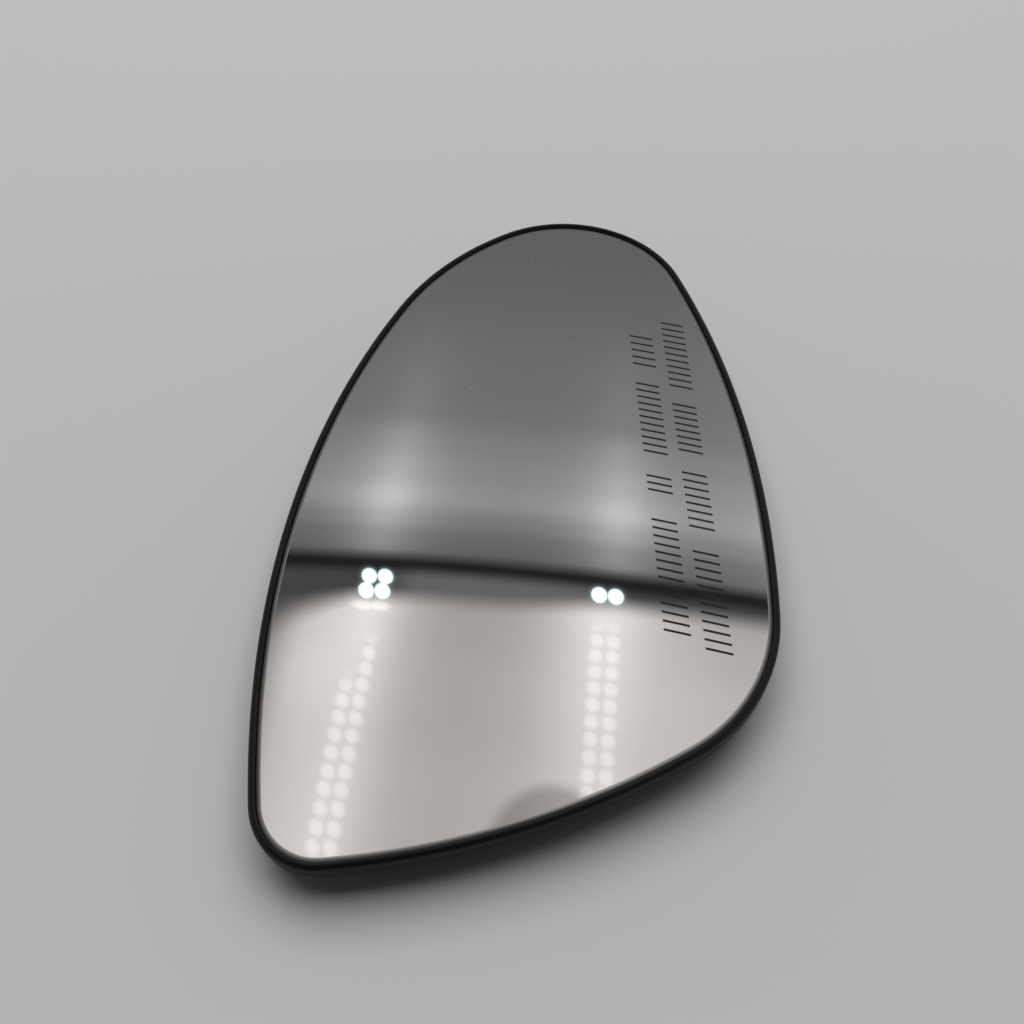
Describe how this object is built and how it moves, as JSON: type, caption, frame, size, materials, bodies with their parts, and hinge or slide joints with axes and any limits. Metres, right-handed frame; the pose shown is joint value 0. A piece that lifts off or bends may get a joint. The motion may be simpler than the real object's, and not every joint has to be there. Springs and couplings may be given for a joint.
{
  "type": "car door mirror glass",
  "caption": "Convex door mirror glass bonded into a black moulded holder with a raised rim. A ring of snap hooks on the back clips onto the mirror's adjuster disc.",
  "frame": {"origin": "on the axis of the clip socket, in the plane of the hook tips that the part rests on", "axes": "+Z out of the glass, +X outboard along the glass's length, +Y to its upper edge as mounted on the right-hand door"},
  "size_m": [0.1582, 0.0995, 0.0133],
  "materials": {
    "mirror_coating": "polished convex mirror with a ground, bevelled edge",
    "foam_pad": "matte closed-cell foam",
    "black_moulding": "satin injection moulding"
  },
  "bodies": {
    "root": {"mirror_glass": "mirror_coating", "adhesive_pad": "foam_pad", "backing_plate": "black_moulding"}
  },
  "joints": []
}
